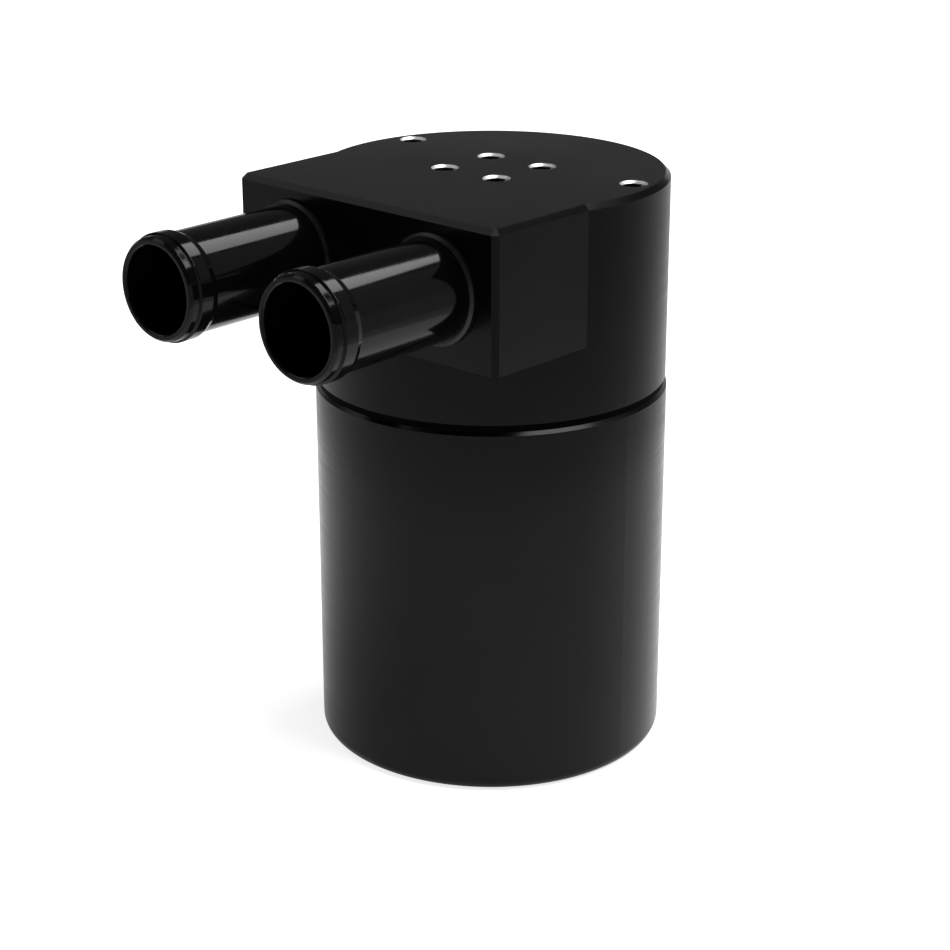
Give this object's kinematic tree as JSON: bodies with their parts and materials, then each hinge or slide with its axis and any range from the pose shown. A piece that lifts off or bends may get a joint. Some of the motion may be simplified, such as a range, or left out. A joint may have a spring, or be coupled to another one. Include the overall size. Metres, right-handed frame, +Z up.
{
  "type": "oil catch can",
  "caption": "Round screw-together oil catch can with a square-fronted head, front hose ports, tapped holes in its top and a baffle plate inside.",
  "frame": {"origin": "centre of the flat underside of the cup", "axes": "+Z up along the can's axis, -Y the way the hose ports point, +X to the right as seen facing the ports"},
  "size_m": [0.068, 0.102, 0.1136],
  "materials": {
    "anodised_body": "satin black anodised",
    "anodised_port": "bright black anodised",
    "seal_rubber": "matt black",
    "bare_aluminium": "turned, bare",
    "mesh_steel": "wire wool",
    "screw_steel": "plain"
  },
  "bodies": {
    "cup_body": {"cup": "anodised_body"},
    "seal_body": {"seal_ring": "seal_rubber"},
    "head_body": {"head": "anodised_body", "hose_port_left": "anodised_port", "hose_port_right": "anodised_port", "port_seal_left": "seal_rubber", "port_seal_right": "seal_rubber", "inlet_pipe": "bare_aluminium", "mesh_pad": "mesh_steel", "baffle_plate": "bare_aluminium", "baffle_screw_1": "screw_steel", "baffle_screw_2": "screw_steel", "baffle_screw_3": "screw_steel", "spring_washer_1": "screw_steel", "spring_washer_2": "screw_steel", "spring_washer_3": "screw_steel"}
  },
  "joints": [
    {"name": "head_lift", "type": "slide", "parent": "cup_body", "child": "seal_body", "axis": [0, 0, 1], "range_m": [0, 0.009]},
    {"name": "head_turn", "type": "hinge", "parent": "seal_body", "child": "head_body", "pos_m": [0, 0, 0.0738], "axis": [0, 0, 1], "range_deg": [0, 2160]}
  ],
  "couplings": [
    {"joint": "head_lift", "follows": "head_turn", "m_per_rad": 0.00023873}
  ]
}
